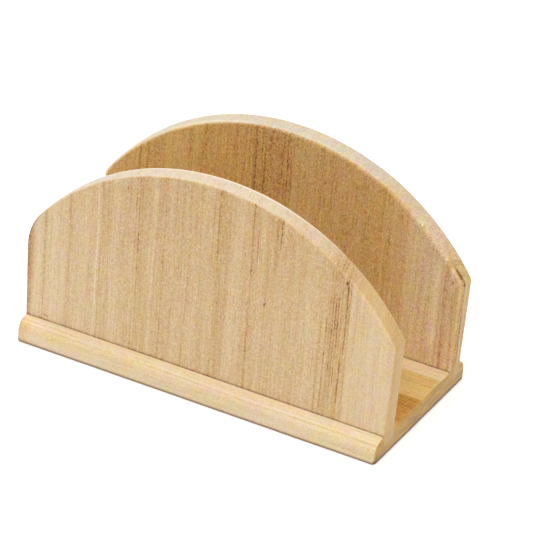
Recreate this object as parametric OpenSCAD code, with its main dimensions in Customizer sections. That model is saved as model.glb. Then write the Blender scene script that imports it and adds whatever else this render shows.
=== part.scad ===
// Napkin holder: two arched wooden panels standing upright in the grooves of a flat base.
// X runs along the base, Y from the front to the back, and Z points up.
// The origin is the centre of the underside, which rests on the table.

/* [Base] */
// Length of the base, end to end
base_l = 178; // [140:1:240]
// Width of the base, front edge to back edge
base_w = 88; // [76:1:120]
// Thickness of the base
base_t = 11; // [10:0.5:16]
// Radius of the round-over along the two long top edges
edge_round_r = 6; // [2:0.5:8]
// Ledge between an edge of the base and the outer face of the panel behind it
ledge_w = 7; // [4:0.5:12]
// Depth of the two grooves that the panels stand in
groove_depth = 5; // [3:0.5:6]
// Glue gap on each side of a panel in its groove
groove_clearance = 0.1; // [0.05:0.05:0.3]

/* [Panels] */
// Thickness of a panel
panel_t = 9.5; // [7:0.5:12]
// Height of the crown of the arch above the table
crown_h = 102; // [85:1:130]
// Height of the shoulders above the table, where the straight sides meet the arch
shoulder_h = 54; // [35:1:70]
// How far each shoulder stands out past the foot of its side
shoulder_flare = 1; // [0:0.5:4]
// Radius of the two rounded shoulders
shoulder_r = 5; // [2:0.5:12]
// Radius of the sanded arrises of the panels and the base
arris_r = 0.8; // [0.3:0.1:1.5]

/* [Screws] */
// Diameter of a screw's shank
shank_d = 3; // [2.5:0.5:4]
// Diameter of a screw's countersunk head
head_d = 6; // [5:0.5:8]
// Length of a screw from the face of its head to its tip
screw_l = 22; // [16:1:30]
// Straight rim round the face of the head
head_rim = 0.4; // [0.2:0.1:0.8]
// How far the heads lie below the underside of the base
head_recess = 0.4; // [0.1:0.1:0.8]
// Gap between a screw and the wall of its hole
screw_clearance = 0.05; // [0.02:0.01:0.2]
// Width of the slots of the cross recess in a head
recess_w = 0.9; // [0.5:0.1:1.4]
// Depth of the cross recess in a head
recess_depth = 1.4; // [0.8:0.1:2]

/* [Hidden] */

// Facets of the large arch and of the small rounds
arch_fn = 240;
small_fn = 48;
// Overrun of a cutting or bounding solid past the wood
overrun = 1;

// Glue lines of the base, as shares of half the space between the panels, front to back
base_joint_shares = [-0.036, 0.673];
// Glue lines of each panel, as shares of half the length of the base, left to right
front_joint_shares = [-0.596, 0.101, 0.758];
back_joint_shares = [-0.169, 0.045, 0.899];
// Places of the screws along each panel, as shares of half the length of the base
screw_shares = [-0.67, 0, 0.67];
// Share of the screw's length that its point takes, and of the head that the recess spans
point_share = 0.15;
recess_span_share = 0.62;
// The trimming circle of a shoulder, as a share of the rounding: just over 1, so that it
// starts a hair outside the wood and crosses the side and the arch at a slight angle
trim_share = 1.012;
// Angle between the shank's axis and the slope of the countersunk head
countersink_angle = 45;

half_l = base_l / 2;
half_w = base_w / 2;
// The round-over stays on the ledge and above the lower arris
edge_r = min(edge_round_r, ledge_w - arris_r, base_t - 2 * arris_r);

groove_floor_z = base_t - groove_depth;
panel_outer_y = half_w - ledge_w;
panel_inner_y = panel_outer_y - panel_t;
panel_mid_y = (panel_outer_y + panel_inner_y) / 2;

// The arch is one circle through the crown and both shoulders
half_shoulder = half_l + shoulder_flare;
arch_rise = crown_h - shoulder_h;
arch_r = (half_shoulder ^ 2 + arch_rise ^ 2) / (2 * arch_rise);
arch_centre = [0, crown_h - arch_r];

// Direction of the right-hand side, upwards, and the way into the wood from it
shoulder = [half_shoulder, shoulder_h];
side_run = shoulder - [half_l, base_t];
side_dir = side_run / norm(side_run);
side_in = [-side_dir[1], side_dir[0]];
side_tilt = atan2(side_dir[0], side_dir[1]);

// Centre of the shoulder's rounding, as far inside the side as inside the arch
round_start = shoulder + side_in * shoulder_r - arch_centre;
round_b = round_start * side_dir;
round_c = round_start * round_start - (arch_r - shoulder_r) ^ 2;
round_shift = -round_b + sqrt(round_b ^ 2 - round_c);
round_centre = arch_centre + round_start + side_dir * round_shift;
arch_out = (round_centre - arch_centre) / norm(round_centre - arch_centre);
// Way from that centre to the sharp corner, and how far the corner stands out past the rounding
corner_out = (shoulder - round_centre) / norm(shoulder - round_centre);
corner_stand_out = norm(shoulder - round_centre) - shoulder_r + overrun;

// Glue lines in millimetres, with the outer limits of the wood on either side
base_cuts = concat(-half_w - overrun, [for (s = base_joint_shares) s * panel_inner_y], half_w + overrun);
panel_reach = half_shoulder + overrun;
front_cuts = concat(-panel_reach, [for (s = front_joint_shares) s * half_l], panel_reach);
back_cuts = concat(-panel_reach, [for (s = back_joint_shares) s * half_l], panel_reach);

// Section of a board's edge: its face is at x = 0, the board reaches back to x = -reach,
// and the two corners of the edge are rounded
module edge_section(reach, thickness, r) {
    translate([-reach, -thickness / 2])
        square([reach - r, thickness]);
    translate([-reach, r - thickness / 2])
        square([reach, thickness - 2 * r]);
    for (side = [-1, 1])
        translate([-r, side * (thickness / 2 - r)])
            circle(r, $fn = small_fn);
}

// Rectangle with its lower edge at y = 0 and its upper and lower corners rounded differently
module board_section(width, height, top_r, low_r) {
    translate([top_r - width / 2, low_r])
        square([width - 2 * top_r, height - low_r]);
    translate([low_r - width / 2, 0])
        square([width - 2 * low_r, height - top_r]);
    translate([-width / 2, low_r])
        square([width, height - top_r - low_r]);
    for (side = [-1, 1]) {
        translate([side * (width / 2 - top_r), height - top_r])
            circle(top_r, $fn = small_fn);
        translate([side * (width / 2 - low_r), low_r])
            circle(low_r, $fn = small_fn);
    }
}

// The whole base board before its grooves are cut, with its arrises sanded
module base_blank() {
    intersection() {
        translate([-half_l, 0, 0])
            rotate([90, 0, 90])
                linear_extrude(base_l)
                    board_section(base_w, base_t, edge_r, arris_r);
        translate([0, half_w, 0])
            rotate([90, 0, 0])
                linear_extrude(base_w)
                    board_section(base_l, base_t, arris_r, arris_r);
        translate([0, -half_w, 0])
            linear_extrude(base_t)
                board_section(base_l, base_w, arris_r, arris_r);
    }
}

// A groove runs out at both ends of the base
module groove(side) {
    translate([-half_l - overrun, side * panel_mid_y - panel_t / 2 - groove_clearance, groove_floor_z])
        cube([base_l + 2 * overrun, panel_t + 2 * groove_clearance, groove_depth + overrun]);
}

// Shape of a hole: countersunk from below, then straight up to past the screw's tip
module screw_hole() {
    hole_r = shank_d / 2 + screw_clearance;
    mouth_r = head_d / 2 + screw_clearance;
    cone_h = (mouth_r - hole_r) / tan(countersink_angle);
    translate([0, 0, -overrun])
        cylinder(h = overrun + head_recess + head_rim, r = mouth_r, $fn = small_fn);
    translate([0, 0, head_recess + head_rim])
        cylinder(h = cone_h, r1 = mouth_r, r2 = hole_r, $fn = small_fn);
    translate([0, 0, head_recess])
        cylinder(h = screw_l + screw_clearance, r = hole_r, $fn = small_fn);
}

module screw_holes(side) {
    for (s = screw_shares)
        translate([s * half_l, side * panel_mid_y, 0])
            screw_hole();
}

// A countersunk wood screw with its head down and its point up
module screw() {
    shank_r = shank_d / 2;
    head_r = head_d / 2;
    cone_h = (head_r - shank_r) / tan(countersink_angle);
    point_l = screw_l * point_share;
    span = head_d * recess_span_share;
    difference() {
        union() {
            cylinder(h = head_rim, r = head_r, $fn = small_fn);
            translate([0, 0, head_rim])
                cylinder(h = cone_h, r1 = head_r, r2 = shank_r, $fn = small_fn);
            cylinder(h = screw_l - point_l, r = shank_r, $fn = small_fn);
            translate([0, 0, screw_l - point_l])
                cylinder(h = point_l, r1 = shank_r, r2 = 0, $fn = small_fn);
        }
        for (turn = [0, 90])
            rotate(turn)
                translate([-span / 2, -recess_w / 2, -overrun])
                    cube([span, recess_w, overrun + recess_depth]);
    }
}

module screws(side) {
    color("silver")
        for (s = screw_shares)
            translate([s * half_l, side * panel_mid_y, head_recess])
                screw();
}

// A disc of the panel's thickness with a rounded rim, standing upright, centred on its own axis
module upright_disc(r) {
    rotate([90, 0, 0])
        rotate_extrude($fn = arch_fn)
            intersection() {
                translate([r, 0])
                    edge_section(r, panel_t, arris_r);
                translate([0, -panel_t / 2])
                    square([r, panel_t]);
            }
}

// All the wood that lies inside the right-hand side of a panel
module right_side_plate() {
    translate([shoulder[0], 0, shoulder[1]])
        rotate([0, side_tilt, 0])
            translate([0, 0, -2 * shoulder_h])
                linear_extrude(2 * shoulder_h + 2 * crown_h)
                    edge_section(3 * half_shoulder, panel_t, arris_r);
}

// What the rounding takes off the corner between the side and the arch, out to past the wood
module shoulder_trim() {
    reach = shoulder_r + 2 * overrun;
    outer = reach + corner_stand_out;
    trim_r = shoulder_r * trim_share;
    intersection() {
        translate([round_centre[0], 0, round_centre[1]])
            rotate([90, 0, 0])
                rotate_extrude($fn = arch_fn)
                    difference() {
                        translate([trim_r - arris_r, -panel_t / 2 - overrun])
                            square([outer - trim_r + arris_r, panel_t + 2 * overrun]);
                        translate([trim_r, 0])
                            edge_section(trim_r, panel_t, arris_r);
                    }
        rotate([90, 0, 0])
            translate([0, 0, -panel_t / 2 - 2 * overrun])
                linear_extrude(panel_t + 4 * overrun)
                    polygon([
                        round_centre,
                        round_centre - side_in * reach,
                        round_centre + corner_out * outer,
                        round_centre + arch_out * reach
                    ]);
    }
}

// A whole arched panel, upright on the floor of its groove and centred on y = 0
module panel_blank() {
    difference() {
        intersection() {
            translate([0, 0, arch_centre[1]])
                upright_disc(arch_r);
            right_side_plate();
            mirror([1, 0, 0])
                right_side_plate();
            translate([-panel_reach, -panel_t, groove_floor_z])
                cube([2 * panel_reach, 2 * panel_t, crown_h]);
        }
        shoulder_trim();
        mirror([1, 0, 0])
            shoulder_trim();
    }
}

// Stave number i of the base, with its part of the grooves and of the screw holes
module base_stave(i) {
    difference() {
        intersection() {
            base_blank();
            translate([-half_l - overrun, base_cuts[i], -overrun])
                cube([base_l + 2 * overrun, base_cuts[i + 1] - base_cuts[i], base_t + 2 * overrun]);
        }
        for (side = [-1, 1]) {
            groove(side);
            screw_holes(side);
        }
    }
}

// Stave number i of the panel on one side: -1 is the front panel and 1 the back one
module panel_stave(side, cuts, i) {
    difference() {
        translate([0, side * panel_mid_y, 0])
            intersection() {
                panel_blank();
                translate([cuts[i], -panel_t, 0])
                    cube([cuts[i + 1] - cuts[i], 2 * panel_t, crown_h + overrun]);
            }
        screw_holes(side);
    }
}

module base_front_stave() { color("wheat") base_stave(0); }
module base_middle_stave() { color("tan") base_stave(1); }
module base_back_stave() { color("wheat") base_stave(2); }

module front_panel_left_stave() { color("burlywood") panel_stave(-1, front_cuts, 0); }
module front_panel_mid_left_stave() { color("tan") panel_stave(-1, front_cuts, 1); }
module front_panel_mid_right_stave() { color("burlywood") panel_stave(-1, front_cuts, 2); }
module front_panel_right_stave() { color("wheat") panel_stave(-1, front_cuts, 3); }

module back_panel_left_stave() { color("burlywood") panel_stave(1, back_cuts, 0); }
module back_panel_mid_left_stave() { color("peru") panel_stave(1, back_cuts, 1); }
module back_panel_mid_right_stave() { color("burlywood") panel_stave(1, back_cuts, 2); }
module back_panel_right_stave() { color("tan") panel_stave(1, back_cuts, 3); }

module front_panel_screws() { screws(-1); }
module back_panel_screws() { screws(1); }

base_front_stave();
base_middle_stave();
base_back_stave();
front_panel_left_stave();
front_panel_mid_left_stave();
front_panel_mid_right_stave();
front_panel_right_stave();
back_panel_left_stave();
back_panel_mid_left_stave();
back_panel_mid_right_stave();
back_panel_right_stave();
front_panel_screws();
back_panel_screws();
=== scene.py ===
# %% [markdown]
# # A wooden napkin holder
# The real holder is three boards of bare, pale, very light wood: a flat base, and two arched
# panels that stand upright in its grooves with room for a pack of napkins between them.
# Each board is glued up from staves, and six screws hold the panels from below.
# The working model of the holder is loaded first and never changed. This file makes the wood
# itself: staves with sanded edges, and a grain that runs through them as it does in a tree.

# %% Load the working model
from math import atan2, copysign, cos, pi, radians, sin, sqrt

import bpy
from mathutils import Matrix, Vector, noise


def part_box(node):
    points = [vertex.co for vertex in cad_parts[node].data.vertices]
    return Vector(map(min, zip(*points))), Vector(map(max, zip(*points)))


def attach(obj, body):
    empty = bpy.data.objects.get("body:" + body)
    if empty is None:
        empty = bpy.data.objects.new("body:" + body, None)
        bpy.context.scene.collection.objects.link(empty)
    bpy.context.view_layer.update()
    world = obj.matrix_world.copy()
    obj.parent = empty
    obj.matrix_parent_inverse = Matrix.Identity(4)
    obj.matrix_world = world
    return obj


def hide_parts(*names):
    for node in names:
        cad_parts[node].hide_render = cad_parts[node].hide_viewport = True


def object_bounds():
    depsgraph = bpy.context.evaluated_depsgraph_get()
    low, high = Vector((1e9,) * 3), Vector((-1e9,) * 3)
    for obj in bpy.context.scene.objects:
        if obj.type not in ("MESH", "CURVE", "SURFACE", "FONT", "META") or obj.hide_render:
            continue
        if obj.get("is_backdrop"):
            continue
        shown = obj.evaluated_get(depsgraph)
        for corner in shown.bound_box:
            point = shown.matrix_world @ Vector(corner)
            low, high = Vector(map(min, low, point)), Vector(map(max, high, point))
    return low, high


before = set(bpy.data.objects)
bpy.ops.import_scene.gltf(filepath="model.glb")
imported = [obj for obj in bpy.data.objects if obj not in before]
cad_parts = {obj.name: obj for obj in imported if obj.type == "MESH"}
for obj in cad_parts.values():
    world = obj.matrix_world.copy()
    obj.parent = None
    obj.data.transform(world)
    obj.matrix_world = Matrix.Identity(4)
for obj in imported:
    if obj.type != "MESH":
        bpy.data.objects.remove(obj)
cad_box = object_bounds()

print("Nodes in the working model:", len(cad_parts))

# %% [markdown]
# ## Sizes
# All sizes here are in millimetres, because that is how a workshop thinks, and every mesh is
# scaled to metres when it is made. What the working model can tell is measured on its nodes,
# so nothing has to be fitted by eye. Only the shape of the shoulders and of the sanded edges
# can't be read from a box, so those few sizes are written down again. Hand work shows in
# them: one shoulder of the front panel was sanded rounder than the other three, and on each
# panel the corner towards the front was sanded further than the one to the rear.

# %% Measure the working model
MM = 0.001


def box_mm(node):
    low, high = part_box(node)
    return low / MM, high / MM


BASE_STAVES = ["base_front_stave", "base_middle_stave", "base_back_stave"]
FRONT_STAVES = [
    "front_panel_left_stave", "front_panel_mid_left_stave",
    "front_panel_mid_right_stave", "front_panel_right_stave",
]
BACK_STAVES = [
    "back_panel_left_stave", "back_panel_mid_left_stave",
    "back_panel_mid_right_stave", "back_panel_right_stave",
]

HALF_L = box_mm("base_middle_stave")[1].x
HALF_W = box_mm("base_back_stave")[1].y
BASE_T = box_mm("base_middle_stave")[1].z
FOOT_Z = box_mm("front_panel_mid_left_stave")[0].z
CROWN_Z = box_mm("front_panel_mid_left_stave")[1].z
PANEL_FACES = {
    "front": [box_mm("front_panel_mid_left_stave")[i].y for i in (0, 1)],
    "back": [box_mm("back_panel_mid_left_stave")[i].y for i in (0, 1)],
}
print("Base", 2 * HALF_L, "x", 2 * HALF_W, "x", BASE_T, "mm; panels", PANEL_FACES)

# %% Sizes that a box can't tell
SHOULDER_Z = 54.0
SHOULDER_FLARE = 1.0
LEFT, RIGHT = -1, 1
SHOULDER_R = {"front": {LEFT: 26.0, RIGHT: 5.0}, "back": {LEFT: 5.0, RIGHT: 5.0}}
ARRIS_R = {"front": (1.2, 0.8), "back": (1.9, 0.8)}
BASE_ARRIS_R = 0.8
EDGE_ROUND_R = 6.0
GROOVE_GAP = 0.1
LIP_EASE = 0.25
BASE_END_R = 1.7
BASE_CORNER_SHARE = 1.7
print("Shoulders at", SHOULDER_Z, "mm, with the radii", SHOULDER_R)

# %% [markdown]
# ## Camera
# The photograph was taken with a long lens from above and a little to the right of the front.
# Its place was found by matching the straight edges and the two arches of the holder, and it
# is written as an aim point, a distance and three angles, which is how one would set up a
# tripod. The picture is rolled by about five degrees, which is why the base seems to fall to
# the right.

# %% Set up the camera
CAMERA_AZIMUTH = 25.898
CAMERA_ELEVATION = 29.02
CAMERA_ROLL = 4.995
CAMERA_DISTANCE = 1395.132
CAMERA_AIM = Vector((13.436, 0.0, 47.379))
FOCAL_PIXELS = 3222.615
IMAGE_PIXELS = 550
SENSOR_MM = 36.0

azimuth, elevation, roll = (radians(a) for a in (CAMERA_AZIMUTH, CAMERA_ELEVATION, CAMERA_ROLL))
backward = Vector((sin(azimuth) * cos(elevation), -cos(azimuth) * cos(elevation), sin(elevation)))
level_right = Vector((cos(azimuth), sin(azimuth), 0))
level_up = backward.cross(level_right)
right = level_right * cos(roll) + level_up * sin(roll)
up = level_up * cos(roll) - level_right * sin(roll)

lens = bpy.data.cameras.new("photo_lens")
lens.sensor_width = SENSOR_MM
lens.lens = FOCAL_PIXELS * SENSOR_MM / IMAGE_PIXELS
lens.clip_start = 0.05
lens.clip_end = 20
camera = bpy.data.objects.new("photo_camera", lens)
bpy.context.scene.collection.objects.link(camera)
turn = Matrix((right, up, backward)).transposed().to_4x4()
camera.matrix_world = Matrix.Translation((CAMERA_AIM + backward * CAMERA_DISTANCE) * MM) @ turn
bpy.context.scene.camera = camera
print("Camera with a lens of", round(lens.lens), "mm, at", camera.matrix_world.translation)

# %% [markdown]
# ## Light
# Pale bare wood shows its grain best in wide, soft light. The photograph has a large soft box
# above the front right, a second soft light from high on the left, which makes the left half
# of the arches almost white, and white surroundings that fill the shadows. The brightness is
# chosen so that a colour renders about as it is written, because then the wood also looks
# right when somebody lights it in another way.

# %% Soft boxes
bpy.context.scene.view_settings.view_transform = "Standard"
HOLDER_MIDDLE = Vector((0.0, 0.0, 0.05))
LAMP_COLOUR = (1.0, 0.99, 0.97)
SOFT_BOXES = {
    "soft_box": {
        "azimuth": 36.0, "elevation": 52.0, "distance": 2.1, "width": 1.3, "height": 1.0, "watts": 27.0,
    },
    "left_light": {
        "azimuth": 245.0, "elevation": 50.0, "distance": 1.8, "width": 0.8, "height": 0.8, "watts": 13.0,
    },
}

for name, box in SOFT_BOXES.items():
    around, above = radians(box["azimuth"]), radians(box["elevation"])
    towards = Vector((sin(around) * cos(above), -cos(around) * cos(above), sin(above)))
    lamp = bpy.data.lights.new(name, "AREA")
    lamp.shape = "RECTANGLE"
    lamp.size, lamp.size_y = box["width"], box["height"]
    lamp.energy = box["watts"]
    lamp.color = LAMP_COLOUR
    hung = bpy.data.objects.new(name, lamp)
    bpy.context.scene.collection.objects.link(hung)
    hung.location = HOLDER_MIDDLE + towards * box["distance"]
    hung.rotation_euler = towards.to_track_quat("Z", "Y").to_euler()
    print(name, "hangs at", [round(c, 2) for c in hung.location])

# %% [markdown]
# ### Helpers for shader nodes
# A shader is a net of small nodes: each one is added, its sockets are set, and it is linked to
# the next. These helpers do that in one line, so that a cell reads like the sum it stands for
# and not like wiring. A value that goes into a socket is either a plain number or colour, or
# what another node puts out.

# %% Helpers for shader nodes
def feed(tree, socket, value):
    if isinstance(value, bpy.types.NodeSocket):
        tree.links.new(value, socket)
    else:
        socket.default_value = value


def add_node(tree, kind, inputs=(), **settings):
    """Adds a node. inputs are (socket, value or output) pairs."""
    made = tree.nodes.new(kind)
    for name, value in settings.items():
        setattr(made, name, value)
    for socket, value in inputs:
        feed(tree, made.inputs[socket], value)
    return made


def maths(tree, operation, *values):
    return add_node(tree, "ShaderNodeMath", enumerate(values), operation=operation).outputs[0]


def mixed_shaders(tree, share, first, second):
    """The first shader where share is 0, and the second where it is 1."""
    return add_node(tree, "ShaderNodeMixShader", enumerate((share, first, second))).outputs[0]


def empty_tree(owner):
    """The node tree of a new world or material, without the nodes that it comes with."""
    owner.use_nodes = True
    owner.node_tree.nodes.clear()
    return owner.node_tree


print("Blender", bpy.app.version_string)

# %% The world gives even fill light, and is pale to the camera
SURROUND_LIGHT = 0.46
world = bpy.data.worlds.new("white_surroundings")
bpy.context.scene.world = world
tree = empty_tree(world)


def seen_directly(tree):
    """1 for the rays that show what lies behind the holder: to the camera, in gloss or in glass."""
    path = add_node(tree, "ShaderNodeLightPath").outputs
    shows = maths(tree, "MAXIMUM", path["Is Camera Ray"], path["Is Glossy Ray"])
    return maths(tree, "MAXIMUM", shows, path["Is Transmission Ray"])


white = (1.0, 1.0, 1.0, 1.0)
fill = add_node(tree, "ShaderNodeBackground", (("Color", white), ("Strength", SURROUND_LIGHT)))
pale = add_node(tree, "ShaderNodeBackground", (("Strength", 1.0),))
sky = mixed_shaders(tree, seen_directly(tree), fill.outputs[0], pale.outputs[0])
add_node(tree, "ShaderNodeOutputWorld", (("Surface", sky),))
print("Surrounding light:", SURROUND_LIGHT)

# %% [markdown]
# ## Floor
# The floor is plain and pale, and keeps the soft shadow of the holder. To the camera it also
# glows a little, so that it runs into the white background without any more light falling on
# the wood. It can't be seen from below, so that the underside can be looked at too.

# %% Floor
FLOOR_RADIUS = 3.0
FLOOR_SIDES = 96
FLOOR_COLOUR = (0.8, 0.8, 0.8, 1)
FLOOR_GLOW = 0.36
FLOOR_DROP = 0.02

material = bpy.data.materials.new("pale_floor")
tree = empty_tree(material)
matt = add_node(tree, "ShaderNodeBsdfDiffuse", (("Color", FLOOR_COLOUR),)).outputs[0]
glow = add_node(tree, "ShaderNodeEmission", (("Strength", FLOOR_GLOW),)).outputs[0]
lit = add_node(tree, "ShaderNodeAddShader", enumerate((matt, glow))).outputs[0]
from_above = mixed_shaders(tree, seen_directly(tree), matt, lit)
below = add_node(tree, "ShaderNodeNewGeometry").outputs["Backfacing"]
clear = add_node(tree, "ShaderNodeBsdfTransparent").outputs[0]
shown = mixed_shaders(tree, below, from_above, clear)
add_node(tree, "ShaderNodeOutputMaterial", (("Surface", shown),))

bpy.ops.mesh.primitive_circle_add(
    vertices=FLOOR_SIDES, radius=FLOOR_RADIUS, fill_type="NGON", location=(0, 0, -FLOOR_DROP * MM)
)
floor = bpy.context.object
floor.name = "floor"
floor.data.materials.append(material)
floor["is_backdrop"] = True
print("Floor", 2 * FLOOR_RADIUS, "m across")

# %% [markdown]
# ## Outline of an arched panel
# One circle runs through the crown and both shoulders, the sides lean out a little, and a
# smaller circle rounds each shoulder. The centre of that smaller circle lies as far inside
# the side as inside the arch, which a short sum gives. A curve object with handles could draw
# this too, but the sum keeps the visual outline on the working model's own. Left and right
# differ in nothing but that radius, so the sum is done for the right side and mirrored.

# %% Work out the arch, the sides and the rounded shoulders
half_shoulder = HALF_L + SHOULDER_FLARE
arch_rise = CROWN_Z - SHOULDER_Z
arch_r = (half_shoulder**2 + arch_rise**2) / (2 * arch_rise)
arch_centre = Vector((0, CROWN_Z - arch_r))
shoulder = Vector((half_shoulder, SHOULDER_Z))
side_up = (shoulder - Vector((HALF_L, BASE_T))).normalized()
side_in = Vector((-side_up.y, side_up.x))
side_foot = shoulder - side_up * (SHOULDER_Z - FOOT_Z) / side_up.y


def shoulder_round(r):
    """The small circle that rounds a shoulder: its centre and where it starts and ends."""
    start = shoulder + side_in * r - arch_centre
    along = start.dot(side_up)
    shift = sqrt(along**2 - start.length_squared + (arch_r - r) ** 2) - along
    centre = arch_centre + start + side_up * shift
    outwards = centre - arch_centre
    return {
        "r": r, "centre": centre, "side_top": centre - side_in * r,
        "from": atan2(-side_in.y, -side_in.x), "to": atan2(outwards.y, outwards.x),
        "arch_x": arch_r * outwards.x / outwards.length,
    }


shoulders = {
    board: {side: shoulder_round(r) for side, r in radii.items()}
    for board, radii in SHOULDER_R.items()
}
print("Arch radius", round(arch_r, 1), "mm")
side_tops = {side: round(corner["side_top"].y, 1) for side, corner in shoulders["front"].items()}
print("The front panel's sides end at", side_tops, "mm")

# %% [markdown]
# ## Stations along the edge
# A stave's edge is followed from left to right through stations: up the left side, round the
# shoulder, over the arch and down again, as far as the stave has them. Each station can be
# set in from the edge, which is what a sanding block does to a corner. At a glue line the
# station stays exactly in the plane of the joint, so neighbouring staves meet face to face.

# %% Stations along the edge
SIDE_STEPS = 14
ROUND_STEPS = 8
ARCH_STEP_MM = 1.6
FEWEST_ARCH_STEPS = 4


def shares(count):
    return [i / count for i in range(count + 1)]


def stations(left, right, rounds):
    """Stations of a stave between two glue lines. None stands for the panel's own end."""
    low = -rounds[LEFT]["arch_x"] if left is None else left
    high = rounds[RIGHT]["arch_x"] if right is None else right
    steps = max(FEWEST_ARCH_STEPS, round((high - low) / ARCH_STEP_MM))
    over = [("arch", RIGHT, s) for s in shares(steps)]
    shade_towards_crown = [("side", s) for s in shares(SIDE_STEPS)]
    shade_towards_crown += [("round", s) for s in shares(ROUND_STEPS)[1:-1]]
    first = [(kind, LEFT, s) for kind, s in shade_towards_crown] if left is None else []
    last = [(kind, RIGHT, s) for kind, s in reversed(shade_towards_crown)] if right is None else []
    return first + over + last


def edge_point(station, inset, left, right, rounds):
    """Place (x, z) of a station whose edge has been taken in by inset."""
    kind, side, share = station
    if kind == "arch":
        r = arch_r - inset
        low = -rounds[LEFT]["arch_x"] * r / arch_r if left is None else left
        high = rounds[RIGHT]["arch_x"] * r / arch_r if right is None else right
        x = low + (high - low) * share
        return Vector((x, arch_centre.y + sqrt(r * r - x * x)))
    corner = rounds[side]
    if kind == "round":
        angle = corner["from"] + (corner["to"] - corner["from"]) * share
        point = corner["centre"] + (corner["r"] - inset) * Vector((cos(angle), sin(angle)))
    else:
        point = side_foot.lerp(corner["side_top"], share) + side_in * inset
        point.y = max(point.y, FOOT_Z) if share else FOOT_Z
    return Vector((side * point.x, point.y))


print("A whole panel edge has", len(stations(None, None, shoulders["front"])), "stations")

# %% [markdown]
# ## Hand-sanded edges
# No sanded edge is perfectly even. Two slow noises, read at the place of each station, take
# the edge in by less than a tenth of a millimetre and make the rounding of its two corners
# wider here and tighter there. Both staves at a glue line read the same place, so the
# unevenness runs on from one to the next without a step.

# %% Unevenness of the sanding
EDGE_WANDER = 0.08
EDGE_WANDER_LENGTH = 21.0
ARRIS_CHANGE_SHARE = 0.35
ARRIS_CHANGE_LENGTH = 12.0
NOISE_ROWS = {"front": 7.3, "back": 14.6, "base": 21.9}


def taken_off(x, z, board):
    """How far hand sanding has taken the edge in at this place."""
    spot = Vector((x / EDGE_WANDER_LENGTH, z / EDGE_WANDER_LENGTH, NOISE_ROWS[board]))
    return EDGE_WANDER * (0.5 + 0.5 * noise.noise(spot))


def arris_radii(x, z, board):
    """Radii of the two sanded corners of an edge: the one to the front and the one to the rear."""
    spot = Vector((x / ARRIS_CHANGE_LENGTH, NOISE_ROWS[board], z / ARRIS_CHANGE_LENGTH))
    uneven = 1 + ARRIS_CHANGE_SHARE * noise.noise(spot)
    return [r * uneven for r in ARRIS_R[board]]


print("Sanded corners at the crown:", [round(r, 2) for r in arris_radii(0, CROWN_Z, "front")], "mm")

# %% [markdown]
# ## From outline to stave
# A cube with a bevel would give sharp, machine-like corners of one width. Here the edge is
# built as a row of rings instead: flat face, sanded corner, slightly domed edge, sanded
# corner, flat face. The faces and the glue joints are then closed with flat polygons.
# A vertex value is 1 on the sanded corners and fades out on the faces, and the material reads it later
# to pale the corners, partly as wear and partly as a painted highlight.

# %% Section of a panel's edge, from the front face to the back one
ARRIS_STEPS = 7
EDGE_STEPS = 4
# The paling values here and in EDGE_WEAR say how much the corners are paled later, partly as wear and
# partly as a painted highlight.
FACE_RINGS = ((3.0, 0.0), (1.0, 0.15))
EDGE_DOME = 0.05
EDGE_WEAR = 0.1


def corner_section(r):
    """Rows of (inset, depth below the face, wear) from a face round its sanded corner."""
    rows = [(r + more, 0.0, wear_and_highlight) for more, wear_and_highlight in FACE_RINGS]
    for s in shares(ARRIS_STEPS):
        bend = s * pi / 2
        inset = EDGE_DOME * s + r * (1 - sin(bend))
        wear_and_highlight = EDGE_WEAR + (1 - EDGE_WEAR) * sin(2 * bend)
        rows.append((inset, r * (1 - cos(bend)), wear_and_highlight))
    return rows


def edge_section(front_y, back_y, radii):
    """Rows of (inset, y, wear) from one face over the edge to the other."""
    front_r, rear_r = radii
    rows = [(inset, front_y + depth, wear_and_highlight) for inset, depth, wear_and_highlight in corner_section(front_r)]
    flat = back_y - front_y - front_r - rear_r
    for s in shares(EDGE_STEPS)[1:-1]:
        rows.append((EDGE_DOME * (2 * s - 1) ** 2, front_y + front_r + flat * s, EDGE_WEAR))
    rows += [(inset, back_y - depth, wear_and_highlight) for inset, depth, wear_and_highlight in reversed(corner_section(rear_r))]
    return rows


print("Rows across a panel's edge:", len(edge_section(*PANEL_FACES["front"], ARRIS_R["front"])))

# %% Turn points into a piece
SMOOTH_BELOW_DEGREES = 35


def make_piece(name, points, faces, wear_and_highlight):
    mesh = bpy.data.meshes.new(name)
    mesh.from_pydata([Vector(p) * MM for p in points], [], faces)
    mesh.attributes.new("wear_and_highlight", "FLOAT", "POINT").data.foreach_set("value", wear_and_highlight)
    mesh.update()
    piece = bpy.data.objects.new(name, mesh)
    bpy.context.scene.collection.objects.link(piece)
    bpy.context.view_layer.objects.active = piece
    bpy.ops.object.mode_set(mode="EDIT")
    bpy.ops.mesh.select_all(action="SELECT")
    bpy.ops.mesh.normals_make_consistent(inside=False)
    bpy.ops.object.mode_set(mode="OBJECT")
    mesh.shade_smooth()
    mesh.set_sharp_from_angle(angle=radians(SMOOTH_BELOW_DEGREES))
    weighted = piece.modifiers.new("even_shading", "WEIGHTED_NORMAL")
    weighted.keep_sharp = True
    return piece


print("Corners of less than", SMOOTH_BELOW_DEGREES, "degrees are shaded as one surface")

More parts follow.
